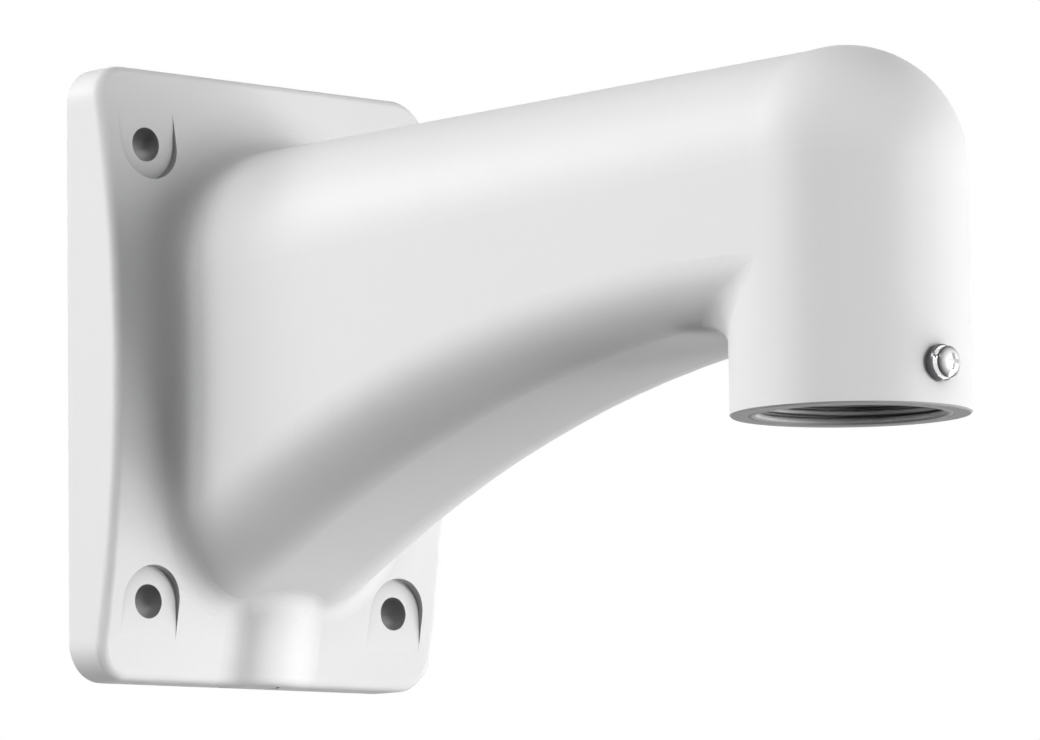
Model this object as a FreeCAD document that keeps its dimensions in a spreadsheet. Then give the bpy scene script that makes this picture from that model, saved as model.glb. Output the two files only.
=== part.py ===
import FreeCAD, Part
import Sketcher

import math
import os

from FreeCAD import Placement, Rotation, Vector

# Camera wall bracket: a hollow die casting (wall plate, arm, elbow and threaded spigot)
# with a lock screw, a spring washer and a flat washer at the front of the spigot.
#
# Frame, in millimetres: the wall is the plane X = 0 and +X points into the room, Y runs
# across the wall plate and +Z is up. The origin is the middle of the plate's back face.

SIZES = [
    # wall plate
    ("plate_width", 115.2, "across the wall, Y"),
    ("plate_height", 161.5, "up the wall, Z"),
    ("plate_corner_radius", 10.0, "corners of the outline"),
    ("plate_peak", 20.4, "thickness at mid height"),
    ("crown_radius", 357.0, "arc of the front face, seen from the side"),
    ("plate_edge_radius", 2.5, "rounding round the front face"),
    ("plate_wall", 4.5, "rim and front wall of the hollow plate"),
    ("rear_corner_radius", 5.0, "corners of the rear cavity"),
    # fixing holes and their seats
    ("hole_spacing_across", 85.0, "fixing holes, Y"),
    ("hole_spacing_up", 120.0, "fixing holes, Z"),
    ("fixing_hole_diameter", 9.0, "clear for M8"),
    ("seat_radius", 9.4, "U-shaped flat seat round each hole"),
    ("seat_level", 14.0, "height of the seats above the wall"),
    ("seat_end_length", 5.2, "rounded run-out of a seat into the front face, Z"),
    ("seat_end_radius", 30.0, "arc of that run-out"),
    ("pillar_radius", 8.0, "solid pillar behind each seat"),
    ("pillar_stop", 2.0, "the pillars' solid ends stop this far under the seats"),
    # cable rib and break-out at the bottom
    ("rib_height", 4.6, "crest above the front face"),
    ("rib_crest_radius", 19.0, "rounding along its crest"),
    ("rib_foot_radius", 13.3, "hollow rounding along its feet"),
    ("breakout_radius", 8.0, "half width of the cable break-out"),
    ("breakout_level", 3.5, "centre of its round end above the wall"),
    ("breakout_skin", 1.5, "thin web left in the bottom wall"),
    ("score_width", 0.8, "line round the break-out"),
    ("score_depth", 0.4, "line round the break-out"),
    # arm
    ("arm_root_width", 73.6, "arm's width in the wall plane"),
    ("arm_root_top", 61.0, "arm's top in the wall plane"),
    ("arm_root_round", 24.0, "lower edges in the wall plane"),
    ("arm_end_round", 12.6, "lower edges at the spigot"),
    ("underside_radius", 411.0, "arc of the underside"),
    ("underside_top", -2.4, "highest point of that arc, at the spigot's axis"),
    ("underside_start", 39.4, "straight run from the wall before the arc"),
    ("arm_wall", 4.5, "wall of the hollow arm"),
    ("arm_tuck", 0.2, "how far the arm's sides tuck inside the spigot"),
    ("root_fillet", 8.0, "arm to plate"),
    ("elbow_fillet", 7.8, "arm to spigot"),
    # elbow and spigot
    ("arm_reach", 227.7, "wall to the spigot's axis"),
    ("spigot_radius", 29.1, "outside"),
    ("spigot_bottom", -27.0, "level of the mouth"),
    ("elbow_level", 33.3, "centre of the ball-shaped elbow"),
    ("mouth_edge", 0.4, "bevel of the mouth's outer edge"),
    ("thread_radius", 24.0, "root of the M48 x 2 thread"),
    ("thread_length", 20.0, "from the mouth"),
    ("mouth_chamfer", 0.7, "lead-in of the thread"),
    ("cable_bore_radius", 22.6, "above the thread"),
    # lock screw and washers
    ("screw_level", -17.0, "axis of the lock screw"),
    ("screw_radius", 1.95, "M4, at its finished outside"),
    ("screw_length", 8.0, "under the head"),
    ("screw_point", 0.5, "chamfer at the end"),
    ("screw_hole_clearance", 0.02, "between screw and tapped hole"),
    ("head_radius", 3.75, "lock screw's head"),
    ("head_height", 2.1, "lock screw's head"),
    ("head_side", 0.5, "straight side of the head"),
    ("recess_width", 1.0, "arms of the cross recess"),
    ("recess_span", 4.0, "across the cross recess"),
    ("recess_depth", 1.2, "cross recess"),
    ("flat_washer_radius", 4.4, "outside"),
    ("flat_washer_thickness", 1.75, "along the screw"),
    ("flat_washer_chamfer", 0.4, "front outer edge"),
    ("spring_washer_radius", 3.2, "outside"),
    ("spring_washer_thickness", 1.15, "along the screw"),
    ("spring_washer_gap", 0.7, "split"),
    ("washer_bore_clearance", 0.15, "round the screw"),
]

# Angles in degrees, a length in millimetres and counts
FULL_TURN = 360
QUARTER_TURN = 90
SPLIT_TURN = 60
TINY = 0.02
EDGE_SAMPLES = 7
ARM_SPAN_COUNT = 16
CORE_SPAN_COUNT = 8

doc = FreeCAD.newDocument("camera_wall_bracket")


def make_sheet():
    """Table of the driving dimensions, each with a name that the expressions use."""
    sheet = doc.addObject("Spreadsheet::Sheet", "Sizes")
    for row, (name, value, note) in enumerate(SIZES, start=1):
        sheet.set("A%d" % row, name)
        sheet.set("B%d" % row, str(value))
        sheet.set("C%d" % row, note)
        sheet.setAlias("B%d" % row, name)
    doc.recompute()
    return sheet


sheet = make_sheet()


def size(name):
    """Value of one dimension."""
    return float(getattr(sheet, name))


def number(text):
    """Value of an expression."""
    return float(sheet.evalExpression(text))


def base_plane(body, role):
    """One of the three planes through the body's own origin."""
    return next(plane for plane in body.Origin.OriginFeatures if plane.Role == role)


def new_body(label):
    """Empty body that becomes one piece of the bracket."""
    body = doc.addObject("PartDesign::Body", label)
    body.Label = label
    return body


def new_sketch(body, name, role, along=None, across=None, out=None):
    """Section drawn on a base plane, which expressions shift along its own x, y and z."""
    sketch = body.newObject("Sketcher::SketchObject", name)
    sketch.AttachmentSupport = [(base_plane(body, role), "")]
    sketch.MapMode = "FlatFace"
    for axis, text in (("x", along), ("y", across), ("z", out)):
        if text:
            sketch.setExpression("AttachmentOffset.Base." + axis, text)
    return sketch


def pin(sketch, geometry, point, x, y):
    """Hold a drawn point at two expressions, or on an axis where one of them is 0."""
    for kind, text, axis in (("DistanceX", x, -2), ("DistanceY", y, -1)):
        if text == "0":
            sketch.addConstraint(Sketcher.Constraint("PointOnObject", geometry, point, axis))
        else:
            held = sketch.addConstraint(Sketcher.Constraint(kind, geometry, point, number(text)))
            sketch.setExpression("Constraints[%d]" % held, text)


def is_arc(corner):
    return len(corner) > 2


def runs_forward(corner):
    """Whether the curve that leaves a corner is stored from this corner to the next."""
    return not is_arc(corner) or corner[3] == "left"


def draw_outline(sketch, corners):
    """Closed outline through corners of the form (x, y) or (x, y, radius, turn).

    The texts are expressions. A corner with a radius starts an arc to the next corner,
    which turns left (anticlockwise) or right, by less than half a circle.
    """
    places = [Vector(number(corner[0]), number(corner[1]), 0) for corner in corners]
    first = sketch.GeometryCount
    for corner, start, end in zip(corners, places, places[1:] + places[:1]):
        if is_arc(corner):
            middle = arc_middle(start, end, number(corner[2]), corner[3])
            sketch.addGeometry(Part.Arc(start, middle, end), False)
        else:
            sketch.addGeometry(Part.LineSegment(start, end), False)
    for place, corner in enumerate(corners):
        next_place = (place + 1) % len(corners)
        curve = first + place
        begin, finish = (1, 2) if runs_forward(corner) else (2, 1)
        next_curve = first + next_place
        next_begin = 1 if runs_forward(corners[next_place]) else 2
        meet = Sketcher.Constraint("Coincident", curve, finish, next_curve, next_begin)
        sketch.addConstraint(meet)
        pin(sketch, curve, begin, corner[0], corner[1])
        if is_arc(corner):
            hold_radius(sketch, curve, corner[2])


def hold_radius(sketch, curve, radius):
    """Tie the radius of an arc or circle to an expression."""
    held = sketch.addConstraint(Sketcher.Constraint("Radius", curve, number(radius)))
    sketch.setExpression("Constraints[%d]" % held, radius)


def arc_middle(start, end, radius, turn):
    """Middle point of the arc of a radius between two points."""
    chord = end - start
    half = chord.Length / 2
    rise = radius - math.sqrt(radius * radius - half * half)
    side = Vector(chord.y, -chord.x, 0).normalize()
    if turn == "right":
        side = -side
    return (start + end) / 2 + side * rise


def draw_rounded_rectangle(sketch, side, end, corner):
    """Rectangle about the sketch's origin, of a half width and a half height."""
    side = "(%s)" % side
    end = "(%s)" % end
    draw_outline(sketch, [
        ("-(%s - %s)" % (side, corner), "-" + end),
        ("(%s - %s)" % (side, corner), "-" + end, corner, "left"),
        (side, "-(%s - %s)" % (end, corner)),
        (side, "(%s - %s)" % (end, corner), corner, "left"),
        ("(%s - %s)" % (side, corner), end),
        ("-(%s - %s)" % (side, corner), end, corner, "left"),
        ("-" + side, "(%s - %s)" % (end, corner)),
        ("-" + side, "-(%s - %s)" % (end, corner), corner, "left"),
    ])


def draw_circle(sketch, x, y, radius):
    """Circle about a point given by two expressions."""
    centre = Vector(number(x), number(y), 0)
    circle = sketch.addGeometry(Part.Circle(centre, Vector(0, 0, 1), number(radius)), False)
    pin(sketch, circle, 3, x, y)
    hold_radius(sketch, circle, radius)


def add_feature(body, kind, name, sketch, **settings):
    """Form made from a drawn section; a text setting that starts with = is an expression."""
    feature = body.newObject("PartDesign::" + kind, name)
    feature.Profile = (sketch, [""])
    for setting, value in settings.items():
        if isinstance(value, str) and value.startswith("="):
            feature.setExpression(setting, value[1:])
        else:
            setattr(feature, setting, value)
    sketch.Visibility = False
    return feature


def edges_where(feature, test):
    """Names of the edges whose points all pass a test."""
    names = []
    for place, edge in enumerate(feature.Shape.Edges, start=1):
        if not edge.Degenerated and all(test(point) for point in edge.discretize(EDGE_SAMPLES)):
            names.append("Edge%d" % place)
    return names


# Expressions that several forms share
CROWN_CENTRE = "(Sizes.plate_peak - Sizes.crown_radius)"
HALF_WIDTH = "Sizes.plate_width / 2"
HALF_HEIGHT = "Sizes.plate_height / 2"
ARM_END_HALF = "(Sizes.spigot_radius - Sizes.arm_tuck)"
ARM_END_TOP = "(Sizes.elbow_level + %s)" % ARM_END_HALF
CORE_END_HALF = "(Sizes.cable_bore_radius - Sizes.arm_tuck)"
CORE_END_TOP = "(Sizes.elbow_level + %s)" % CORE_END_HALF
SCREW_HOLE_RADIUS = "(Sizes.screw_radius + Sizes.screw_hole_clearance)"


def blend(at_wall, at_spigot, station):
    """Straight taper along the arm from the wall plane to the spigot's axis."""
    return "(%s + (%s - (%s)) * (%s) / Sizes.arm_reach)" % (at_wall, at_spigot, at_wall, station)


def underside(station):
    """Height of the arm's underside, and its slope: an arc, then straight towards the wall."""
    run = "(Sizes.arm_reach - max(%s; Sizes.underside_start))" % station
    fall = "sqrt(Sizes.underside_radius^2 - %s^2)" % run
    slope = "(%s / %s)" % (run, fall)
    straight = "(max(%s; Sizes.underside_start) - (%s))" % (station, station)
    height = "(Sizes.underside_top - Sizes.underside_radius + %s - %s * %s)" % (fall, slope, straight)
    return height, slope


def arm_section(body, name, station, hollow):
    """Cross section of the arm or its core: round top, straight sides, large lower roundings."""
    low, slope = underside(station)
    turn = blend("Sizes.arm_root_round", "Sizes.arm_end_round", station)
    if hollow:
        half = blend("(Sizes.arm_root_width / 2 - Sizes.arm_wall)", CORE_END_HALF, station)
        top = blend("(Sizes.arm_root_top - Sizes.arm_wall)", CORE_END_TOP, station)
        turn = "(%s - Sizes.arm_wall)" % turn
        low = "(%s + Sizes.arm_wall * sqrt(1 + %s^2))" % (low, slope)
    else:
        half = blend("Sizes.arm_root_width / 2", ARM_END_HALF, station)
        top = blend("Sizes.arm_root_top", ARM_END_TOP, station)
    middle = "(%s - %s)" % (top, half)
    inner = "(%s - %s)" % (half, turn)
    sketch = new_sketch(body, name, "YZ_Plane", out=station)
    draw_outline(sketch, [
        ("-" + inner, low),
        (inner, low, turn, "left"),
        (half, "%s + %s" % (low, turn)),
        (half, middle, half, "left"),
        ("0", top, half, "left"),
        ("-" + half, middle),
        ("-" + half, "%s + %s" % (low, turn), turn, "left"),
    ])
    return sketch


def add_arm(body, kind, name, hollow, spans):
    """Arm or its core, from inside the plate to the spigot's axis.

    One straight-ruled span covers the straight start, and equal short ones follow the arc
    of the underside.
    """
    curved = "(Sizes.arm_reach - Sizes.underside_start)"
    stations = ["Sizes.plate_wall", "Sizes.underside_start"]
    for step in range(1, spans):
        stations.append("(Sizes.underside_start + %s * %d / %d)" % (curved, step, spans))
    stations.append("Sizes.arm_reach")
    sections = []
    for place, station in enumerate(stations, start=1):
        sections.append(arm_section(body, "%s_section_%d" % (name, place), station, hollow))
    loft = body.newObject("PartDesign::" + kind, name)
    loft.Profile = (sections[0], [""])
    loft.Sections = [(section, [""]) for section in sections[1:]]
    loft.Ruled = True
    return loft


def crown_arc(height, offset):
    """How far out an arc parallel to the plate's front face is at a height, and its radius."""
    radius = "(Sizes.crown_radius + %s)" % offset
    return "(%s + sqrt(%s^2 - (%s)^2))" % (CROWN_CENTRE, radius, height), radius


def cut_crown(body, name, surface, upwards):
    """Cut the plate's front to an arc about a level axis, above or below the middle."""
    sketch = new_sketch(body, name + "_section", "XY_Plane")
    past_side = "(%s + Sizes.plate_wall)" % HALF_WIDTH
    past_front = "(Sizes.plate_peak + %s)" % HALF_HEIGHT
    draw_outline(sketch, [("Sizes.plate_peak", "-" + past_side)] + surface + [
        ("Sizes.plate_peak", past_side), (past_front, past_side), (past_front, "-" + past_side)])
    ends = [Vector(number(CROWN_CENTRE), 0, 0), Vector(number(CROWN_CENTRE), number(past_side), 0)]
    axis = sketch.addGeometry(Part.LineSegment(*ends), True)
    pin(sketch, axis, 1, CROWN_CENTRE, "0")
    pin(sketch, axis, 2, CROWN_CENTRE, past_side)
    return add_feature(body, "Groove", name, sketch, ReferenceAxis=(sketch, ["Axis0"]),
                       Angle=QUARTER_TURN, Reversed=upwards)


def make_plate(body):
    """Plate with its crowned front face and, on the lower half, the raised cable rib."""
    outline = new_sketch(body, "plate_outline", "YZ_Plane")
    draw_rounded_rectangle(outline, HALF_WIDTH, HALF_HEIGHT, "Sizes.plate_corner_radius")
    add_feature(body, "Pad", "plate_block", outline, Length="=Sizes.plate_peak + Sizes.rib_height")
    cut_crown(body, "crown_upper", [], True)
    joined = "(Sizes.rib_crest_radius + Sizes.rib_foot_radius)"
    foot_y = "sqrt(2 * %s * Sizes.rib_height - Sizes.rib_height^2)" % joined
    meet_y = "(%s * Sizes.rib_crest_radius / %s)" % (foot_y, joined)
    meet_x = "(Sizes.plate_peak + Sizes.rib_height * Sizes.rib_foot_radius / %s)" % joined
    crown = cut_crown(body, "crown_lower", [
        ("Sizes.plate_peak", "-" + foot_y, "Sizes.rib_foot_radius", "right"),
        (meet_x, "-" + meet_y, "Sizes.rib_crest_radius", "left"),
        (meet_x, meet_y, "Sizes.rib_foot_radius", "right"),
        ("Sizes.plate_peak", foot_y),
    ], False)
    return add_fillet(body, "plate_edge", crown, on_front_border, "Sizes.plate_edge_radius")


def add_fillet(body, name, feature, test, radius):
    """Rounding of the edges of the body so far that pass a test."""
    doc.recompute()
    fillet = body.newObject("PartDesign::Fillet", name)
    fillet.Base = (feature, edges_where(feature, test))
    fillet.setExpression("Radius", radius)
    doc.recompute()
    return fillet


def above_front(point):
    """Height of a point above the crowned front face."""
    return math.hypot(point.x - number(CROWN_CENTRE), point.z) - size("crown_radius")


def on_front(point):
    return -TINY < above_front(point) < size("rib_height") + TINY


def inside_flat(point):
    """Inside the rounding that runs round the front face."""
    margin = size("plate_edge_radius") + TINY
    from_side = size("plate_width") / 2 - abs(point.y)
    from_end = size("plate_height") / 2 - abs(point.z)
    return min(from_side, from_end) > margin


def on_front_border(point):
    """On the front face where it meets the plate's sides."""
    corner = size("plate_corner_radius")
    from_side = size("plate_width") / 2 - abs(point.y)
    from_end = size("plate_height") / 2 - abs(point.z)
    if from_side < corner and from_end < corner:
        depth = corner - math.hypot(corner - from_side, corner - from_end)
    else:
        depth = min(from_side, from_end)
    return on_front(point) and abs(depth) < TINY


def on_root(point):
    """On the front face where the arm leaves it."""
    return on_front(point) and inside_flat(point)


def on_elbow(point):
    """On the outside of the spigot or of its ball-shaped top, behind its axis plane."""
    out = point.x - size("arm_reach")
    above = max(point.z - size("elbow_level"), 0)
    off = math.sqrt(out * out + point.y * point.y + above * above) - size("spigot_radius")
    return abs(off) < TINY and out < 0


def make_spigot(body):
    """Round spigot with a ball-shaped top and a bevelled mouth."""
    sketch = new_sketch(body, "spigot_section", "XZ_Plane", along="Sizes.arm_reach")
    draw_outline(sketch, [
        ("0", "Sizes.spigot_bottom"),
        ("(Sizes.spigot_radius - Sizes.mouth_edge)", "Sizes.spigot_bottom"),
        ("Sizes.spigot_radius", "(Sizes.spigot_bottom + Sizes.mouth_edge)"),
        ("Sizes.spigot_radius", "Sizes.elbow_level", "Sizes.spigot_radius", "left"),
        ("0", "(Sizes.elbow_level + Sizes.spigot_radius)"),
    ])
    return add_feature(body, "Revolution", "spigot", sketch, ReferenceAxis=(sketch, ["V_Axis"]),
                       Angle=FULL_TURN)


def make_rear_cavity(body):
    """Hollow back of the plate, with a front wall of even thickness, and the rib's channel."""
    rim_end = "(%s - Sizes.plate_wall)" % HALF_HEIGHT
    floor_x, floor_radius = crown_arc(rim_end, "(-Sizes.plate_wall)")
    profile = new_sketch(body, "rear_cavity_profile", "XZ_Plane")
    draw_outline(profile, [
        ("0", "-" + rim_end),
        (floor_x, "-" + rim_end, floor_radius, "left"),
        (floor_x, rim_end),
        ("0", rim_end),
    ])
    cavity = add_feature(body, "Pocket", "rear_cavity", profile, Midplane=True,
                         Length="=Sizes.plate_width - 2 * Sizes.plate_wall")
    add_fillet(body, "rear_cavity_corners", cavity, on_rim_corner, "Sizes.rear_corner_radius")
    web = "(%s - Sizes.breakout_skin)" % HALF_HEIGHT
    low_x, channel_radius = crown_arc(web, "(Sizes.rib_height - Sizes.plate_wall)")
    profile = new_sketch(body, "cable_channel_profile", "XZ_Plane")
    draw_outline(profile, [
        ("0", "-" + web),
        (low_x, "-" + web, channel_radius, "left"),
        ("(Sizes.plate_peak + Sizes.rib_height - Sizes.plate_wall)", "0"),
        ("0", "0"),
    ])
    add_feature(body, "Pocket", "cable_channel", profile, Midplane=True,
                Length="=2 * Sizes.breakout_radius")


def on_rim_corner(point):
    """On one of the four corners of the rear cavity."""
    from_side = size("plate_width") / 2 - size("plate_wall") - abs(point.y)
    from_end = size("plate_height") / 2 - size("plate_wall") - abs(point.z)
    return abs(from_side) < TINY and abs(from_end) < TINY


def make_breakout(body):
    """Score line round the cable break-out in the bottom of the plate."""
    sketch = new_sketch(body, "breakout_outline", "XY_Plane", out="-" + HALF_HEIGHT)
    outside = "(Sizes.breakout_radius + Sizes.score_width / 2)"
    inside = "(Sizes.breakout_radius - Sizes.score_width / 2)"
    level = "Sizes.breakout_level"
    draw_outline(sketch, [
        ("0", "-" + outside),
        (level, "-" + outside, outside, "left"),
        ("(%s + %s)" % (level, outside), "0", outside, "left"),
        (level, outside),
        ("0", outside),
        ("0", inside),
        (level, inside, inside, "right"),
        ("(%s + %s)" % (level, inside), "0", inside, "right"),
        (level, "-" + inside),
        ("0", "-" + inside),
    ])
    add_feature(body, "Pocket", "breakout_score", sketch, Length="=Sizes.score_depth", Reversed=True)


def make_spigot_bore(body):
    """Bore of the spigot: lead-in, thread length, shoulder and the round inside of the elbow."""
    sketch = new_sketch(body, "spigot_bore_section", "XZ_Plane", along="Sizes.arm_reach")
    shoulder = "(Sizes.spigot_bottom + Sizes.thread_length)"
    draw_outline(sketch, [
        ("0", "(Sizes.spigot_bottom - Sizes.mouth_chamfer)"),
        ("(Sizes.thread_radius + 2 * Sizes.mouth_chamfer)", "(Sizes.spigot_bottom - Sizes.mouth_chamfer)"),
        ("Sizes.thread_radius", "(Sizes.spigot_bottom + Sizes.mouth_chamfer)"),
        ("Sizes.thread_radius", shoulder),
        ("Sizes.cable_bore_radius", "(%s + Sizes.thread_radius - Sizes.cable_bore_radius)" % shoulder),
        ("Sizes.cable_bore_radius", "Sizes.elbow_level", "Sizes.cable_bore_radius", "left"),
        ("0", "(Sizes.elbow_level + Sizes.cable_bore_radius)"),
    ])
    return add_feature(body, "Groove", "spigot_bore", sketch, ReferenceAxis=(sketch, ["V_Axis"]),
                       Angle=FULL_TURN)


def make_fixings(body):
    """Pillars, U-shaped seats and clear holes for the four wall screws."""
    half_across = "(Sizes.hole_spacing_across / 2)"
    half_up = "(Sizes.hole_spacing_up / 2)"
    past_end = "(%s + Sizes.seat_radius)" % HALF_HEIGHT
    pillars = new_sketch(body, "pillar_circles", "YZ_Plane")
    seats = new_sketch(body, "seat_outlines", "YZ_Plane", out="Sizes.seat_level")
    holes = new_sketch(body, "fixing_hole_circles", "YZ_Plane")
    for side in (1, -1):
        for end in (1, -1):
            y = "(%d * %s)" % (side, half_across)
            z = "(%d * %s)" % (end, half_up)
            draw_circle(pillars, y, z, "Sizes.pillar_radius")
            draw_circle(holes, y, z, "(Sizes.fixing_hole_diameter / 2)")
            turn = "left" if end > 0 else "right"
            draw_outline(seats, [
                ("(%s - Sizes.seat_radius)" % y, z, "Sizes.seat_radius", turn),
                (y, "(%s - %d * Sizes.seat_radius)" % (z, end), "Sizes.seat_radius", turn),
                ("(%s + Sizes.seat_radius)" % y, z),
                ("(%s + Sizes.seat_radius)" % y, "(%d * %s)" % (end, past_end)),
                ("(%s - Sizes.seat_radius)" % y, "(%d * %s)" % (end, past_end)),
            ])
    add_feature(body, "Pad", "pillars", pillars, Length="=Sizes.seat_level - Sizes.pillar_stop")
    add_feature(body, "Pocket", "seats", seats, Type="ThroughAll", Reversed=True)
    add_feature(body, "Pocket", "fixing_holes", holes, Type="ThroughAll", Reversed=True)


def make_seat_ends(body):
    """Rounded run-out of the seats into the front face, towards the plate's ends."""
    ridge = "sqrt(Sizes.crown_radius^2 - (Sizes.seat_level - %s)^2)" % CROWN_CENTRE
    start = "(%s - Sizes.seat_end_length / 2)" % ridge
    finish = "(%s + Sizes.seat_end_length / 2)" % ridge
    finish_x = crown_arc(finish, "0")[0]
    for side in (1, -1):
        sketch = new_sketch(body, "seat_end_section", "XZ_Plane",
                            out="%d * Sizes.hole_spacing_across / 2" % side)
        for end, turn in ((1, "left"), (-1, "right")):
            draw_outline(sketch, [
                ("Sizes.seat_level", "(%d * %s)" % (end, start), "Sizes.seat_end_radius", turn),
                (finish_x, "(%d * %s)" % (end, finish)),
                ("Sizes.plate_peak", "(%d * %s)" % (end, finish)),
                ("Sizes.plate_peak", "(%d * %s)" % (end, start)),
            ])
        add_feature(body, "Pocket", "seat_ends", sketch, Midplane=True,
                    Length="=2 * Sizes.seat_radius")


def make_screw_hole(body):
    """Hole for the lock screw, square to the spigot's axis at its front."""
    sketch = new_sketch(body, "screw_hole_circle", "YZ_Plane", out="Sizes.arm_reach")
    draw_circle(sketch, "0", "Sizes.screw_level", SCREW_HOLE_RADIUS)
    return add_feature(body, "Pocket", "screw_hole", sketch, Reversed=True, Type="ThroughAll")


def make_casting():
    """The one-piece casting, from the plate outwards and then hollowed."""
    body = new_body("bracket_casting")
    make_plate(body)
    add_arm(body, "AdditiveLoft", "arm", False, ARM_SPAN_COUNT)
    spigot = make_spigot(body)
    root = add_fillet(body, "root_blend", spigot, on_root, "Sizes.root_fillet")
    add_fillet(body, "elbow_blend", root, on_elbow, "Sizes.elbow_fillet")
    make_rear_cavity(body)
    add_arm(body, "SubtractiveLoft", "arm_core", True, CORE_SPAN_COUNT)
    make_spigot_bore(body)
    make_fixings(body)
    make_seat_ends(body)
    make_breakout(body)
    make_screw_hole(body)
    return body


def place_on_screw_axis(body, distance, turn=0):
    """Put a piece made about its own X axis on the lock screw's axis, out from the spigot."""
    body.Placement = Placement(Vector(), Rotation(Vector(1, 0, 0), turn))
    body.setExpression("Placement.Base.x", "Sizes.arm_reach + Sizes.spigot_radius + %s" % distance)
    body.setExpression("Placement.Base.z", "Sizes.screw_level")


def make_flat_washer():
    """Thick plain washer with its front outer edge broken."""
    body = new_body("flat_washer")
    sketch = new_sketch(body, "flat_washer_section", "XZ_Plane")
    bore = "(Sizes.screw_radius + Sizes.washer_bore_clearance)"
    draw_outline(sketch, [
        ("0", bore),
        ("Sizes.flat_washer_thickness", bore),
        ("Sizes.flat_washer_thickness", "(Sizes.flat_washer_radius - Sizes.flat_washer_chamfer)"),
        ("(Sizes.flat_washer_thickness - Sizes.flat_washer_chamfer)", "Sizes.flat_washer_radius"),
        ("0", "Sizes.flat_washer_radius"),
    ])
    add_feature(body, "Revolution", "flat_washer_ring", sketch, ReferenceAxis=(sketch, ["H_Axis"]),
                Angle=FULL_TURN)
    place_on_screw_axis(body, "0")
    return body


def make_spring_washer():
    """Split ring, pressed flat, with a slanting cut through one side."""
    body = new_body("spring_washer")
    ring = new_sketch(body, "spring_washer_circles", "YZ_Plane")
    draw_circle(ring, "0", "0", "Sizes.spring_washer_radius")
    draw_circle(ring, "0", "0", "(Sizes.screw_radius + Sizes.washer_bore_clearance)")
    add_feature(body, "Pad", "spring_washer_ring", ring, Length="=Sizes.spring_washer_thickness")
    cut = new_sketch(body, "spring_washer_cut", "XY_Plane")
    behind = "(-1 * Sizes.spring_washer_thickness)"
    before = "(2 * Sizes.spring_washer_thickness)"
    slant = "(%s - (Sizes.spring_washer_thickness %s Sizes.spring_washer_gap) / 2)"
    draw_outline(cut, [
        (behind, slant % (behind, "+")),
        (before, slant % (before, "+")),
        (before, slant % (before, "-")),
        (behind, slant % (behind, "-")),
    ])
    add_feature(body, "Pocket", "spring_washer_split", cut, Type="ThroughAll", Reversed=True)
    place_on_screw_axis(body, "Sizes.flat_washer_thickness", SPLIT_TURN)
    return body


def make_lock_screw():
    """Machine screw with a low domed head and a cross recess."""
    body = new_body("lock_screw")
    sketch = new_sketch(body, "lock_screw_section", "XZ_Plane")
    dome = "((Sizes.head_radius^2 + (Sizes.head_height - Sizes.head_side)^2)"
    dome += " / (2 * (Sizes.head_height - Sizes.head_side)))"
    draw_outline(sketch, [
        ("-Sizes.screw_length", "0"),
        ("Sizes.head_height", "0", dome, "left"),
        ("Sizes.head_side", "Sizes.head_radius"),
        ("0", "Sizes.head_radius"),
        ("0", "Sizes.screw_radius"),
        ("(Sizes.screw_point - Sizes.screw_length)", "Sizes.screw_radius"),
        ("-Sizes.screw_length", "(Sizes.screw_radius - Sizes.screw_point)"),
    ])
    add_feature(body, "Revolution", "lock_screw_turned", sketch, ReferenceAxis=(sketch, ["H_Axis"]),
                Angle=FULL_TURN)
    recess = new_sketch(body, "cross_recess_outline", "YZ_Plane", out="Sizes.head_height")
    arm = "(Sizes.recess_span / 2)"
    half = "(Sizes.recess_width / 2)"
    draw_outline(recess, [
        (half, half), (half, arm), ("-" + half, arm), ("-" + half, half),
        ("-" + arm, half), ("-" + arm, "-" + half), ("-" + half, "-" + half), ("-" + half, "-" + arm),
        (half, "-" + arm), (half, "-" + half), (arm, "-" + half), (arm, half),
    ])
    add_feature(body, "Pocket", "cross_recess", recess, Length="=Sizes.recess_depth")
    place_on_screw_axis(body, "Sizes.flat_washer_thickness + Sizes.spring_washer_thickness")
    return body


def check_document(bodies):
    """Stop if any object of the document failed or a body has no sound single solid."""
    doc.recompute()
    for thing in doc.Objects:
        if "Invalid" in thing.State or "Error" in thing.State:
            raise RuntimeError("%s failed: %s" % (thing.Label, thing.State))
    for body in bodies:
        shape = body.Shape
        if shape.isNull() or not shape.isValid() or len(shape.Solids) != 1:
            raise RuntimeError("%s has no sound solid" % body.Label)
        print("%-16s %10.1f mm3  %4d faces" % (body.Label, shape.Volume, len(shape.Faces)))


bodies = [make_casting(), make_flat_washer(), make_spring_washer(), make_lock_screw()]
check_document(bodies)
os.makedirs("parts", exist_ok=True)
for body in bodies:
    body.Shape.exportStep("parts/%s.step" % body.Label)
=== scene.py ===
"""Looks of a camera wall bracket: powder coat, plated hardware, mouth thread, studio and camera."""
import logging
import math
from dataclasses import dataclass, field
from enum import Enum
from typing import Any

import bpy
from mathutils import Matrix, Vector


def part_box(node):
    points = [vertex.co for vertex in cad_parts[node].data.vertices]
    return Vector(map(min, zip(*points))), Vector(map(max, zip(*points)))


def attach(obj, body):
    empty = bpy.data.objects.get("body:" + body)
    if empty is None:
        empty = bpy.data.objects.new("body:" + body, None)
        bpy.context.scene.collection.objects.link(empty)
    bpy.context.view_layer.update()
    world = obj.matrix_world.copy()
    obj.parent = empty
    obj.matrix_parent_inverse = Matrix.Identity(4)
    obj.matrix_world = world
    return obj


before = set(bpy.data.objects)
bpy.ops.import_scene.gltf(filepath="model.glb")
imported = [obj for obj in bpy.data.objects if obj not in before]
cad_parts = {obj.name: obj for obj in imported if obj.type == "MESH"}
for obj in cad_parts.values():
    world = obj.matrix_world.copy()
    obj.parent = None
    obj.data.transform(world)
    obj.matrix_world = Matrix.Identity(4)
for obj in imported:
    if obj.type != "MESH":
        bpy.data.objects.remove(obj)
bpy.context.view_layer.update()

log = logging.getLogger("camera_wall_bracket")

MM = 0.001
MICRON = 0.000001
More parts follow.
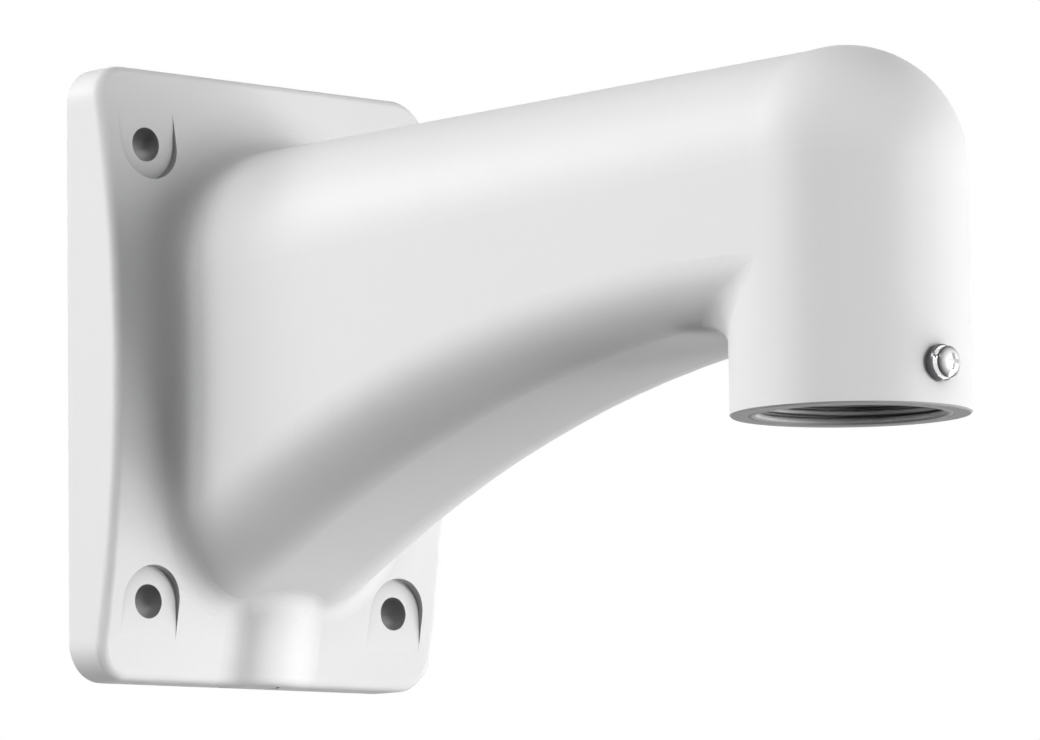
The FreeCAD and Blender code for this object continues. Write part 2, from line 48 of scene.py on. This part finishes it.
# How far the spigot's axis stands out from the wall.
REACH = 227.7 * MM
WHITE = (1.0, 1.0, 1.0, 1.0)
# The directions that lie across an axis.
OFF_X_AXIS = (0.0, 1.0, 1.0)
OFF_Z_AXIS = (1.0, 1.0, 0.0)
IMAGE_WIDTH = 1040
SENSOR_WIDTH = 36.0


def linear(hex_colour: str) -> tuple[float, float, float, float]:
    """Turn an sRGB hex colour into linear RGBA, by the curve of the sRGB standard.

    Args:
        hex_colour: Colour such as "#E8E8E6".

    Returns:
        Linear red, green and blue, and an alpha of 1.
    """
    channels = []
    for start in (1, 3, 5):
        value = int(hex_colour[start:start + 2], 16) / 255.0
        channels.append(value / 12.92 if value <= 0.04045 else ((value + 0.055) / 1.055) ** 2.4)
    return (channels[0], channels[1], channels[2], 1.0)


def per_metre(size_mm: float) -> float:
    """Texture scale that gives a pattern of a size in millimetres on coordinates in metres.

    Args:
        size_mm: Distance from one feature of the pattern to the next.

    Returns:
        Number of features in a metre.
    """
    return 1.0 / (size_mm * MM)


def add_node(tree: bpy.types.NodeTree, kind: str, settings: dict[str | int, Any] | None = None,
             links: dict[str | int, bpy.types.NodeSocket] | None = None) -> bpy.types.Node:
    """Add a node with its settings and links.

    Args:
        tree: Tree that gets the node.
        kind: Blender's identifier of the node.
        settings: Properties of the node, or values of its inputs by name or number.
        links: Output sockets that feed the node's inputs, by input name or number.

    Returns:
        The new node.
    """
    node = tree.nodes.new(kind)
    for name, value in (settings or {}).items():
        if isinstance(name, str) and name in node.bl_rna.properties:
            setattr(node, name, value)
        else:
            node.inputs[name].default_value = value
    for name, socket in (links or {}).items():
        tree.links.new(socket, node.inputs[name])
    return node


def off_axis(tree: bpy.types.NodeTree, place: bpy.types.NodeSocket,
             point: tuple[float, float, float] | Vector,
             across: tuple[float, float, float]) -> bpy.types.NodeSocket:
    """Measure how far a place lies from an axis.

    Args:
        tree: Tree of a material.
        place: Object coordinates.
        point: Any point on the axis, in metres.
        across: 1 for each direction across the axis and 0 for the one along it.

    Returns:
        The distance in metres.
    """
    from_point = add_node(tree, "ShaderNodeVectorMath", {"operation": "SUBTRACT", 1: point}, {0: place})
    level = add_node(tree, "ShaderNodeVectorMath", {"operation": "MULTIPLY", 1: across},
                     {0: from_point.outputs["Vector"]})
    length = add_node(tree, "ShaderNodeVectorMath", {"operation": "LENGTH"}, {0: level.outputs["Vector"]})
    return length.outputs["Value"]


def shown_directly(tree: bpy.types.NodeTree) -> bpy.types.NodeSocket:
    """Tell rays that show the background from rays that carry its light to the object.

    Args:
        tree: Tree of a material or of the world.

    Returns:
        A value of 1 for camera, glossy and transmission rays and 0 for diffuse ones.
    """
    path = add_node(tree, "ShaderNodeLightPath")
    seen = add_node(tree, "ShaderNodeMath", {"operation": "MAXIMUM"},
                    {0: path.outputs["Is Camera Ray"], 1: path.outputs["Is Glossy Ray"]})
    shown = add_node(tree, "ShaderNodeMath", {"operation": "MAXIMUM"},
                     {0: seen.outputs["Value"], 1: path.outputs["Is Transmission Ray"]})
    return shown.outputs["Value"]


def new_material(name: str) -> tuple[bpy.types.Material, bpy.types.NodeTree]:
    """Make an empty node material.

    Args:
        name: Name of the material.

    Returns:
        The material and its node tree.
    """
    material = bpy.data.materials.new(name)
    material.use_nodes = True
    material.node_tree.nodes.clear()
    return material, material.node_tree


@dataclass(frozen=True)
class PowderCoat:
    """Satin polyester powder coat, sprayed and baked on a die casting.

    The baked powder levels to a soft orange peel with a fine grain on it, so broad highlights stay soft
    and dark areas look very slightly speckled. Shade is painted into the colour: ambient occlusion darkens
    inside corners and creases, the thread's grooves and the mouth's flat rim are painted greyer for the
    shade in them, and on the walls of the fixing holes the painted corner shade is held back to a share.
    """

    name: str = "satin_white_powder_coat"
    colour: str = "#DEDEDE"
    shade: str = "#D9D9D9"
    ior: float = 1.5
    gloss_level: float = 0.25
    roughness: float = 0.50
    roughness_spread: float = 0.05

    peel_mm: float = 2.2
    peel_height: float = 14 * MICRON
    peel_octaves: float = 2.0
    peel_fineness: float = 0.4
    grain_mm: float = 0.45
    grain_height: float = 9 * MICRON
    grain_octaves: float = 3.0
    grain_fineness: float = 0.6

    # Painted shade: inside corners and creases are darkened toward this dark corner colour by ambient
    # occlusion.
    corner_shade_colour: str = "#6A6A6A"
    corner_reach: float = 16.0 * MM
    corner_rays: int = 8

    # Painted shade in the fixing holes is held back: their walls keep at least hole_share of the coat's
    # colour.
    hole_place: tuple[float, float, float] = (0.0, 42.5 * MM, 60.0 * MM)
    hole_radius: float = 4.51 * MM
    hole_share: float = 0.42

    # Painted shade: the thread's grooves inside the mouth are painted greyer for the shade that lies in
    # them.
    groove_shade_colour: str = "#C8C8C8"
    groove_radius: float = 23.8 * MM
    groove_spread: float = 0.25 * MM
    groove_middle: float = 2.0 * MM
    groove_height: float = 27.6 * MM

    # Painted shade: the mouth's flat rim faces down and is painted greyer for the shade on it.
    rim_shade_colour: str = "#A0A0A0"
    rim_radius: float = 30.0 * MM
    rim_level: float = -26.55 * MM

    def build(self) -> bpy.types.Material:
        """Make the material.

        Returns:
            The coat as a node material.
        """
        material, tree = new_material(self.name)
        place = add_node(tree, "ShaderNodeTexCoord").outputs["Object"]
        peel = add_node(tree, "ShaderNodeTexNoise",
                        {"Scale": per_metre(self.peel_mm), "Detail": self.peel_octaves,
                         "Roughness": self.peel_fineness}, {"Vector": place})
        grain = add_node(tree, "ShaderNodeTexNoise",
                         {"Scale": per_metre(self.grain_mm), "Detail": self.grain_octaves,
                          "Roughness": self.grain_fineness}, {"Vector": place})
        gloss = add_node(tree, "ShaderNodeMapRange",
                         {"To Min": self.roughness - self.roughness_spread,
                          "To Max": self.roughness + self.roughness_spread}, {"Value": peel.outputs["Fac"]})
        waves = add_node(tree, "ShaderNodeBump", {"Distance": self.peel_height},
                         {"Height": peel.outputs["Fac"]})
        bumps = add_node(tree, "ShaderNodeBump", {"Distance": self.grain_height},
                         {"Height": grain.outputs["Fac"], "Normal": waves.outputs["Normal"]})
        shader = add_node(tree, "ShaderNodeBsdfPrincipled",
                          {"IOR": self.ior, "Specular IOR Level": self.gloss_level},
                          {"Base Color": self.shaded_colour(tree, place, grain.outputs["Fac"]),
                           "Roughness": gloss.outputs["Result"], "Normal": bumps.outputs["Normal"]})
        add_node(tree, "ShaderNodeOutputMaterial", links={"Surface": shader.outputs["BSDF"]})
        return material

    def shaded_colour(self, tree: bpy.types.NodeTree, place: bpy.types.NodeSocket,
               grain: bpy.types.NodeSocket) -> bpy.types.NodeSocket:
        """Colour the coat, with shade painted into it in corners, in the fixing holes, in the thread's
        grooves and on the mouth's rim.

        Args:
            tree: Tree of the material.
            place: Object coordinates.
            grain: The fine grain, from 0 to 1.

        Returns:
            The coat's colour, with the painted shade.
        """
        speckled = add_node(tree, "ShaderNodeMix",
                            {"data_type": "RGBA", 6: linear(self.shade), 7: linear(self.colour)}, {0: grain})
        # Painted shade in the thread's grooves.
        groove_shaded = add_node(tree, "ShaderNodeMix", {"data_type": "RGBA", 7: linear(self.groove_shade_colour)},
                           {0: self.in_grooves(tree, place), 6: speckled.outputs[2]})
        # Painted shade on the mouth's flat rim.
        rim_shaded = add_node(tree, "ShaderNodeMix", {"data_type": "RGBA", 7: linear(self.rim_shade_colour)},
                          {0: self.on_rim(tree, place), 6: groove_shaded.outputs[2]})
        # Painted shade: ambient occlusion darkens the coat toward the dark corner colour in corners and
        # creases.
        openness = add_node(tree, "ShaderNodeAmbientOcclusion",
                            {"samples": self.corner_rays, "Distance": self.corner_reach})
        # In the fixing holes the painted corner shade is limited to a share.
        in_holes = add_node(tree, "ShaderNodeMath", {"operation": "MULTIPLY", 1: self.hole_share},
                            {0: self.in_holes(tree, place)})
        unshaded = add_node(tree, "ShaderNodeMath", {"operation": "MAXIMUM"},
                           {0: openness.outputs["AO"], 1: in_holes.outputs["Value"]})
        coloured = add_node(tree, "ShaderNodeMix", {"data_type": "RGBA", 6: linear(self.corner_shade_colour)},
                            {0: unshaded.outputs["Value"], 7: rim_shaded.outputs[2]})
        return coloured.outputs[2]

    def on_rim(self, tree: bpy.types.NodeTree, place: bpy.types.NodeSocket) -> bpy.types.NodeSocket:
        """Find the flat rim of the mouth.

        Args:
            tree: Tree of the material.
            place: Object coordinates.

        Returns:
            A value of 1 on the rim and 0 elsewhere.
        """
        near = add_node(tree, "ShaderNodeMath", {"operation": "LESS_THAN", 1: self.rim_radius},
                        {0: off_axis(tree, place, (REACH, 0.0, 0.0), OFF_Z_AXIS)})
        height = add_node(tree, "ShaderNodeSeparateXYZ", links={"Vector": place})
        low = add_node(tree, "ShaderNodeMath", {"operation": "LESS_THAN", 1: self.rim_level},
                       {0: height.outputs["Z"]})
        both = add_node(tree, "ShaderNodeMath", {"operation": "MULTIPLY"},
                        {0: near.outputs["Value"], 1: low.outputs["Value"]})
        return both.outputs["Value"]

    def in_grooves(self, tree: bpy.types.NodeTree, place: bpy.types.NodeSocket) -> bpy.types.NodeSocket:
        """Find the grooves of the mouth's thread, above its lip.

        Args:
            tree: Tree of the material.
            place: Object coordinates.

        Returns:
            A value of 1 in the grooves and 0 elsewhere.
        """
        deep = add_node(tree, "ShaderNodeMath",
                        {"operation": "COMPARE", 1: self.groove_radius, 2: self.groove_spread},
                        {0: off_axis(tree, place, (REACH, 0.0, 0.0), OFF_Z_AXIS)})
        height = add_node(tree, "ShaderNodeSeparateXYZ", links={"Vector": place})
        over_lip = add_node(tree, "ShaderNodeMath",
                            {"operation": "COMPARE", 1: self.groove_middle, 2: self.groove_height},
                            {0: height.outputs["Z"]})
        both = add_node(tree, "ShaderNodeMath", {"operation": "MULTIPLY"},
                        {0: deep.outputs["Value"], 1: over_lip.outputs["Value"]})
        return both.outputs["Value"]

    def in_holes(self, tree: bpy.types.NodeTree, place: bpy.types.NodeSocket) -> bpy.types.NodeSocket:
        """Find the walls of the four fixing holes, which lie evenly about the plate's middle.

        Args:
            tree: Tree of the material.
            place: Object coordinates.

        Returns:
            A value of 1 on the walls of the holes and 0 elsewhere.
        """
        folded = add_node(tree, "ShaderNodeVectorMath", {"operation": "ABSOLUTE"}, {0: place})
        inside = add_node(tree, "ShaderNodeMath", {"operation": "LESS_THAN", 1: self.hole_radius},
                          {0: off_axis(tree, folded.outputs["Vector"], self.hole_place, OFF_X_AXIS)})
        return inside.outputs["Value"]


@dataclass(frozen=True)
class PlatedSteel:
    """Bright zinc plating on turned and pressed steel.

    The faces are polished, with the fine rings of the turning tool left in them, so reflections are crisp
    along the rings and slightly drawn out across them. On the edges, which don't face along the screw's
    axis, a dark reflection is painted into the colour, and less of it in the recess for the driver.
    """

    name: str
    colour: str
    # Colour of the painted dark reflection on the edges.
    dark_reflection_colour: str
    axis: Vector
    roughness: float = 0.2
    ring_mm: float = 0.12
    ring_height: float = 0.3 * MICRON
    ring_octaves: float = 2.0
    edge_facing: float = 0.72
    face_facing: float = 0.93
    recess_radius: float = 2.2 * MM
    recess_share: float = 0.7

    def build(self) -> bpy.types.Material:
        """Make the material, with its turning rings about the screw's axis.

        Returns:
            The plating as a node material.
        """
        material, tree = new_material(self.name)
        given = add_node(tree, "ShaderNodeTexCoord").outputs
        radius = off_axis(tree, given["Object"], self.axis, OFF_X_AXIS)
        out = add_node(tree, "ShaderNodeSeparateXYZ", links={"Vector": given["Object"]})
        along = add_node(tree, "ShaderNodeMath", {"operation": "ADD"}, {0: radius, 1: out.outputs["X"]})
        rings = add_node(tree, "ShaderNodeTexNoise",
                         {"noise_dimensions": "1D", "Scale": per_metre(self.ring_mm),
                          "Detail": self.ring_octaves}, {"W": along.outputs["Value"]})
        bumps = add_node(tree, "ShaderNodeBump", {"Distance": self.ring_height},
                         {"Height": rings.outputs["Fac"]})
        # Painted reflection: the edges are darkened toward the edge colour.
        tint = add_node(tree, "ShaderNodeMix",
                        {"data_type": "RGBA", 6: linear(self.dark_reflection_colour), 7: linear(self.colour)},
                        {0: self.brightness(tree, given["Normal"], radius)})
        shader = add_node(tree, "ShaderNodeBsdfPrincipled", {"Metallic": 1.0, "Roughness": self.roughness},
                          {"Base Color": tint.outputs[2], "Normal": bumps.outputs["Normal"]})
        add_node(tree, "ShaderNodeOutputMaterial", links={"Surface": shader.outputs["BSDF"]})
        return material

    def brightness(self, tree: bpy.types.NodeTree, normal: bpy.types.NodeSocket,
                   radius: bpy.types.NodeSocket) -> bpy.types.NodeSocket:
        """Tell the faces from the edges, on which a dark reflection is painted.

        Args:
            tree: Tree of the material.
            normal: Direction that the surface faces, on the object.
            radius: Distance from the screw's axis.

        Returns:
            A value of 1 on faces, 0 on edges and recess_share or more in the recess.
        """
        facing = add_node(tree, "ShaderNodeSeparateXYZ", links={"Vector": normal})
        slope = add_node(tree, "ShaderNodeMath", {"operation": "ABSOLUTE"}, {0: facing.outputs["X"]})
        face = add_node(tree, "ShaderNodeMapRange",
                        {"From Min": self.edge_facing, "From Max": self.face_facing},
                        {"Value": slope.outputs["Value"]})
        inside = add_node(tree, "ShaderNodeMath", {"operation": "LESS_THAN", 1: self.recess_radius},
                          {0: radius})
        recess = add_node(tree, "ShaderNodeMath", {"operation": "MULTIPLY", 1: self.recess_share},
                          {0: inside.outputs["Value"]})
        bright = add_node(tree, "ShaderNodeMath", {"operation": "MAXIMUM"},
                          {0: face.outputs["Result"], 1: recess.outputs["Value"]})
        return bright.outputs["Value"]


@dataclass(frozen=True)
class StudioPaper:
    """Matt paper under the object, plain and pale, that shows nearly white and keeps the object's shadow."""

    name: str = "studio_paper"
    colour: str = "#F0F0F0"
    roughness: float = 0.9
    glow: float = 0.92

    def build(self) -> bpy.types.Material:
        """Make the material.

        Returns:
            The paper as a node material.
        """
        material, tree = new_material(self.name)
        strength = add_node(tree, "ShaderNodeMath", {"operation": "MULTIPLY", 1: self.glow},
                            {0: shown_directly(tree)})
        shader = add_node(tree, "ShaderNodeBsdfPrincipled",
                          {"Base Color": linear(self.colour), "Roughness": self.roughness,
                           "Emission Color": WHITE}, {"Emission Strength": strength.outputs["Value"]})
        add_node(tree, "ShaderNodeOutputMaterial", links={"Surface": shader.outputs["BSDF"]})
        return material


class ThreadForm(Enum):
    """Metric threads on the bracket, by their pitch in millimetres."""

    CAMERA_NECK = 2.0


@dataclass
class MouthThread:
    """Internal screw thread in the spigot's mouth: one helical ridge on the plain bore, above a plain lip.

    The ridge and the lip reach a little into the casting's wall, so that no gap shows. The shares are of
    the pitch, or of the ridge's own length and height where it runs out at both ends.
    """

    material: bpy.types.Material
    mouth: float
    root_radius: float
    form: ThreadForm = ThreadForm.CAMERA_NECK
    length: float = 16.6 * MM
    lead_in: float = 2.24 * MM
    bite: float = 0.04 * MM
    depth_share: float = 0.5413
    foot_share: float = 0.875
    crest_share: float = 0.25
    run_out_length: float = 0.04
    run_out_height: float = 0.05
    lip_height: float = 1.4 * MM
    lip_gap: float = 0.05 * MM
    lip_flare: float = 0.74 * MM
    lip_slope_share: float = 0.31
    steps_per_turn: int = 160

    @property
    def pitch(self) -> float:
        """Distance from one turn to the next, in metres."""
        return self.form.value * MM

    def build(self) -> bpy.types.Object:
        """Make the ridge and the lip as one plain mesh.

        Returns:
            The thread's object.
        """
        values = {
            "Radius": self.root_radius, "Length": self.length, "Turns": self.length / self.pitch,
            "Depth": self.pitch * self.depth_share, "Foot Width": self.pitch * self.foot_share,
            "Crest Width": self.pitch * self.crest_share, "Bite": self.bite,
            "Lip Gap": self.lip_gap, "Lip Height": self.lip_height,
            "Lip Foot": self.lip_height + self.pitch * self.lip_slope_share, "Lip Flare": self.lip_flare,
            "Steps": self.steps_per_turn, "Place": (REACH, 0.0, self.mouth + self.lead_in),
            "Mouth": (REACH, 0.0, self.mouth), "Material": self.material,
        }
        return grown("mouth_thread", self.tree(), values)

    def tree(self) -> bpy.types.NodeTree:
        """Build the node group that makes the ridge and the lip.

        Returns:
            A geometry node group with named inputs for the thread's sizes.
        """
        tree = bpy.data.node_groups.new("mouth_thread", "GeometryNodeTree")
        tree.interface.new_socket("Geometry", in_out="INPUT", socket_type="NodeSocketGeometry")
        for name in ("Radius", "Length", "Turns", "Depth", "Foot Width", "Crest Width", "Bite",
                     "Lip Gap", "Lip Height", "Lip Foot", "Lip Flare"):
            tree.interface.new_socket(name, in_out="INPUT", socket_type="NodeSocketFloat")
        tree.interface.new_socket("Steps", in_out="INPUT", socket_type="NodeSocketInt")
        tree.interface.new_socket("Place", in_out="INPUT", socket_type="NodeSocketVector")
        tree.interface.new_socket("Mouth", in_out="INPUT", socket_type="NodeSocketVector")
        tree.interface.new_socket("Material", in_out="INPUT", socket_type="NodeSocketMaterial")
        tree.interface.new_socket("Geometry", in_out="OUTPUT", socket_type="NodeSocketGeometry")
        given = add_node(tree, "NodeGroupInput").outputs
        joined = add_node(tree, "GeometryNodeJoinGeometry")
        for part in (self.ridge(tree, given), self.lip(tree, given)):
            tree.links.new(part, joined.inputs["Geometry"])
        solid = add_node(tree, "GeometryNodeRealizeInstances", links={
            "Geometry": joined.outputs["Geometry"]})
        dressed = add_node(tree, "GeometryNodeSetMaterial", links={
            "Geometry": solid.outputs["Geometry"], "Material": given["Material"]})
        add_node(tree, "NodeGroupOutput", links={"Geometry": dressed.outputs["Geometry"]})
        return tree

    def ridge(self, tree: bpy.types.NodeTree, given: bpy.types.NodeOutputs) -> bpy.types.NodeSocket:
        """Sweep the ridge's section along the helix.

        Args:
            tree: Node group that gets the ridge.
            given: The group's named inputs.

        Returns:
            The ridge's geometry.
        """
        helix = add_node(tree, "GeometryNodeCurveSpiral", {"Reverse": True}, {
            "Resolution": given["Steps"], "Rotations": given["Turns"], "Start Radius": given["Radius"],
            "End Radius": given["Radius"], "Height": given["Length"]})
        upright = add_node(tree, "GeometryNodeSetCurveNormal", {"mode": "Z_UP"},
                           {"Curve": helix.outputs["Curve"]})
        ways = add_node(tree, "GeometryNodeSplineParameter")
        from_end = add_node(tree, "ShaderNodeMath", {"operation": "PINGPONG", 1: 0.5},
                            {0: ways.outputs["Factor"]})
        fade = add_node(tree, "ShaderNodeMapRange",
                        {"From Max": self.run_out_length, "To Min": self.run_out_height},
                        {"Value": from_end.outputs["Value"]})
        thinned = add_node(tree, "GeometryNodeSetCurveRadius", links={
            "Curve": upright.outputs["Curve"], "Radius": fade.outputs["Result"]})
        high = add_node(tree, "ShaderNodeMath", {"operation": "ADD"}, {0: given["Depth"], 1: given["Bite"]})
        section = add_node(tree, "GeometryNodeCurvePrimitiveQuadrilateral",
                           {"mode": "TRAPEZOID", "Offset": 0.0},
                           {"Height": high.outputs["Value"], "Bottom Width": given["Foot Width"],
                            "Top Width": given["Crest Width"]})
        half = add_node(tree, "ShaderNodeMath", {"operation": "MULTIPLY", 1: 0.5},
                        {0: high.outputs["Value"]})
        lifted = add_node(tree, "ShaderNodeMath", {"operation": "SUBTRACT"},
                          {0: half.outputs["Value"], 1: given["Bite"]})
        shift = add_node(tree, "ShaderNodeCombineXYZ", links={"Y": lifted.outputs["Value"]})
        raised = add_node(tree, "GeometryNodeTransform", links={
            "Geometry": section.outputs["Curve"], "Translation": shift.outputs["Vector"]})
        turned = add_node(tree, "GeometryNodeTransform", {"Rotation": (0.0, 0.0, math.radians(90.0))},
                          {"Geometry": raised.outputs["Geometry"]})
        swept = add_node(tree, "GeometryNodeCurveToMesh", {"Fill Caps": True}, {
            "Curve": thinned.outputs["Curve"], "Profile Curve": turned.outputs["Geometry"]})
        placed = add_node(tree, "GeometryNodeTransform", links={
            "Geometry": swept.outputs["Mesh"], "Translation": given["Place"]})
        return placed.outputs["Geometry"]

    def lip(self, tree: bpy.types.NodeTree, given: bpy.types.NodeOutputs) -> bpy.types.NodeSocket:
        """Add the plain lip at the very mouth, before the first turn of the thread.

        Args:
            tree: Node group that gets the lip.
            given: The group's named inputs.

        Returns:
            The lip's geometry.
        """
        rim = add_node(tree, "GeometryNodeCurvePrimitiveCircle",
                       links={"Resolution": given["Steps"], "Radius": given["Radius"]})
        upright = add_node(tree, "GeometryNodeSetCurveNormal", {"mode": "Z_UP"},
                           {"Curve": rim.outputs["Curve"]})
        flare = add_node(tree, "ShaderNodeMath", {"operation": "MULTIPLY", 1: -1.0}, {0: given["Lip Flare"]})
        root = add_node(tree, "ShaderNodeMath", {"operation": "MULTIPLY", 1: -1.0}, {0: given["Bite"]})
        corners = {}
        for number, (inward, upward) in enumerate((
                (given["Depth"], given["Lip Gap"]), (flare.outputs["Value"], given["Lip Gap"]),
                (root.outputs["Value"], given["Lip Foot"]), (given["Depth"], given["Lip Height"])), start=1):
            corner = add_node(tree, "ShaderNodeCombineXYZ", links={"X": inward, "Y": upward})
            corners["Point %d" % number] = corner.outputs["Vector"]
        section = add_node(tree, "GeometryNodeCurvePrimitiveQuadrilateral", {"mode": "POINTS"}, corners)
        turned = add_node(tree, "GeometryNodeTransform", {"Rotation": (0.0, 0.0, math.radians(180.0))},
                          {"Geometry": section.outputs["Curve"]})
        swept = add_node(tree, "GeometryNodeCurveToMesh", links={
            "Curve": upright.outputs["Curve"], "Profile Curve": turned.outputs["Geometry"]})
        outward = add_node(tree, "GeometryNodeFlipFaces", links={"Mesh": swept.outputs["Mesh"]})
        placed = add_node(tree, "GeometryNodeTransform", links={
            "Geometry": outward.outputs["Mesh"], "Translation": given["Mouth"]})
        return placed.outputs["Geometry"]


def grown(name: str, tree: bpy.types.NodeTree, values: dict[str, Any]) -> bpy.types.Object:
    """Run a geometry node group and keep its result as a plain mesh, without the modifier.

    Args:
        name: Name of the new piece.
        tree: The node group.
        values: Value of each named input.

    Returns:
        The piece, whose object stands at the origin.
    """
    seed = bpy.data.objects.new(name + "_seed", bpy.data.meshes.new(name + "_seed"))
    bpy.context.scene.collection.objects.link(seed)
    modifier = seed.modifiers.new(name, "NODES")
    modifier.node_group = tree
    for item in tree.interface.items_tree:
        if item.in_out == "INPUT" and item.name in values:
            modifier[item.identifier] = values[item.name]
    bpy.context.view_layer.update()
    evaluated = seed.evaluated_get(bpy.context.evaluated_depsgraph_get())
    mesh = bpy.data.meshes.new_from_object(evaluated)
    mesh.name = name
    piece = bpy.data.objects.new(name, mesh)
    bpy.context.scene.collection.objects.link(piece)
    bpy.data.objects.remove(seed)
    return piece


def dress(node: bpy.types.Object, material: bpy.types.Material) -> None:
    """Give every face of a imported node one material.

    Args:
        node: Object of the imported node.
        material: Its finish.
    """
    if not node.material_slots:
        node.data.materials.append(material)
    for slot in node.material_slots:
        slot.material = material


@dataclass
class Bracket:
    """The casting with its mouth thread."""

    coat: PowderCoat = field(default_factory=PowderCoat)
    thread_root: float = 24.0 * MM
    search_radius: float = 36.0 * MM

    def build(self) -> None:
        """Coat the casting and give it its thread."""
        finish = self.coat.build()
        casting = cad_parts["bracket_casting"]
        dress(casting, finish)
        log.info("bracket_casting: coated")
        piece = MouthThread(finish, self.mouth_level(casting), self.thread_root).build()
        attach(piece, "root")
        log.info("mouth_thread: %d faces", len(piece.data.polygons))

    def mouth_level(self, casting: bpy.types.Object) -> float:
        """Height of the spigot's mouth, the lowest point round the spigot's axis.

        Args:
            casting: Object of the casting.

        Returns:
            The height in metres.
        """
        return min(corner.co.z for corner in casting.data.vertices
                   if abs(corner.co.x - REACH) < self.search_radius)


@dataclass
class LockScrew:
    """Lock screw with its spring washer and flat washer, each with its colour and that of the dark
    reflection painted on its edges.
    """

    # Each piece: name, colour, and colour of the painted dark reflection on its edges.
    finishes: tuple[tuple[str, str, str], ...] = (
        ("flat_washer", "#FAFAFA", "#646466"),
        ("spring_washer", "#FAFAFA", "#F4F4F4"),
        ("lock_screw", "#FAFAFA", "#4A4A4C"),
    )

    def build(self) -> None:
        """Plate the three pieces of steel."""
        low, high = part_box("lock_screw")
        middle = (low + high) / 2
        axis = Vector((0.0, middle.y, middle.z))
        for name, colour, dark_reflection_colour in self.finishes:
            dress(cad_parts[name], PlatedSteel("plated_" + name, colour, dark_reflection_colour, axis).build())
            log.info("%s: plated", name)


def looking_from(azimuth: float, elevation: float, distance: float) -> Matrix:
    """Place of a lamp or camera that looks at the origin.

    Args:
        azimuth: Bearing of the place seen from the origin, in degrees from +X towards +Y.
        elevation: Height of the place over the horizon, in degrees.
        distance: Distance from the origin in metres.

    Returns:
        Matrix of an object that looks down its own -Z axis at the origin, with its Y axis up.
    """
    bearing = math.radians(azimuth)
    height = math.radians(elevation)
    back = Vector((math.cos(bearing) * math.cos(height), math.sin(bearing) * math.cos(height),
                   math.sin(height)))
    right = Vector((-math.sin(bearing), math.cos(bearing), 0.0))
    up = back.cross(right)
    turn = Matrix((right, up, back)).transposed().to_4x4()
    return Matrix.Translation(back * distance) @ turn


@dataclass(frozen=True)
class SoftBox:
    """Square studio lamp aimed at the bracket's middle, with its angles in degrees and power in watts."""

    name: str
    azimuth: float
    elevation: float
    power: float
    side: float = 1.11
    distance: float = 4.0
    spread: float = 50.0

    def build(self, aim: Vector) -> None:
        """Make the lamp.

        Args:
            aim: Point that the lamp faces.
        """
        light = bpy.data.lights.new(self.name, "AREA")
        light.shape = "SQUARE"
        light.size = self.side
        light.energy = self.power
        light.spread = math.radians(self.spread)
        lamp = bpy.data.objects.new(self.name, light)
        bpy.context.scene.collection.objects.link(lamp)
        lamp.matrix_world = (Matrix.Translation(aim)
                             @ looking_from(self.azimuth, self.elevation, self.distance))
        lamp.visible_camera = False
        log.info("%s: %.2f W", self.name, self.power)


@dataclass
class Studio:
    """Floor, soft boxes, white surroundings and the camera."""

    middle: Vector = field(default_factory=lambda: Vector((0.12, 0.0, 0.0)))
    floor_level: float = -3.3
    floor_side: float = 40.0
    lamps: tuple[SoftBox, ...] = (
        SoftBox("left_box", -100.0, 5.0, 5.55),
        SoftBox("left_back_box", -115.0, 5.0, 3.13),
        SoftBox("low_back_box", -130.0, -15.0, 1.75),
        SoftBox("high_wall_box", -150.0, 30.0, 4.88),
        SoftBox("high_back_box", -130.0, 60.0, 2.63),
        SoftBox("camera_side_box", -43.0, 35.0, 2.08),
        SoftBox("front_box", 10.0, 5.0, 2.37),
        SoftBox("front_right_box", 20.0, 5.0, 5.07),
        SoftBox("low_front_box", 20.0, -15.0, 3.48),
        SoftBox("low_side_box", 65.0, -15.0, 3.90),
        SoftBox("low_right_box", 65.0, -40.0, 4.62),
    )
    camera_bearing: float = -42.843
    camera_elevation: float = -6.3735
    camera_roll: float = -0.741
    camera_distance: float = 1.5257
    camera_aim_mm: tuple[float, float, float] = (110.20, 1.09, -5.33)
    focal_pixels: float = 6002.6

    def build(self) -> None:
        """Set up the stage."""
        self.build_floor()
        self.build_surroundings()
        for lamp in self.lamps:
            lamp.build(self.middle)
        self.build_camera()
        bpy.context.scene.view_settings.view_transform = "Standard"

    def build_floor(self) -> None:
        """Lay the floor well under the bracket, which hangs on its wall mount."""
        half = self.floor_side / 2
        mesh = bpy.data.meshes.new("floor")
        corners = [(-half, -half), (half, -half), (half, half), (-half, half)]
        mesh.from_pydata([(x, y, self.floor_level) for x, y in corners], [], [(0, 1, 2, 3)])
        floor = bpy.data.objects.new("floor", mesh)
        bpy.context.scene.collection.objects.link(floor)
        floor.data.materials.append(StudioPaper().build())

    def build_surroundings(self) -> None:
        """Show the surroundings white, also in reflections, and leave the light to the soft boxes."""
        world = bpy.data.worlds.new("surroundings")
        world.use_nodes = True
        tree = world.node_tree
        tree.nodes.clear()
        sky = add_node(tree, "ShaderNodeBackground", {"Color": WHITE}, {"Strength": shown_directly(tree)})
        add_node(tree, "ShaderNodeOutputWorld", links={"Surface": sky.outputs["Background"]})
        bpy.context.scene.world = world

    def build_camera(self) -> None:
        """Put the camera where the bracket's lines in the photograph say it stood."""
        data = bpy.data.cameras.new("camera")
        data.sensor_width = SENSOR_WIDTH
        data.lens = self.focal_pixels / IMAGE_WIDTH * SENSOR_WIDTH
        camera = bpy.data.objects.new("camera", data)
        bpy.context.scene.collection.objects.link(camera)
        aim = Vector(self.camera_aim_mm) * MM
        stand = looking_from(self.camera_bearing, self.camera_elevation, self.camera_distance)
        roll = Matrix.Rotation(math.radians(self.camera_roll), 4, "Z")
        camera.matrix_world = Matrix.Translation(aim) @ stand @ roll
        bpy.context.scene.camera = camera


def main() -> None:
    """Dress the bracket and set up the studio."""
    logging.basicConfig(level=logging.INFO, format="%(message)s")
    Bracket().build()
    LockScrew().build()
    Studio().build()


if __name__ == "__main__":
    main()
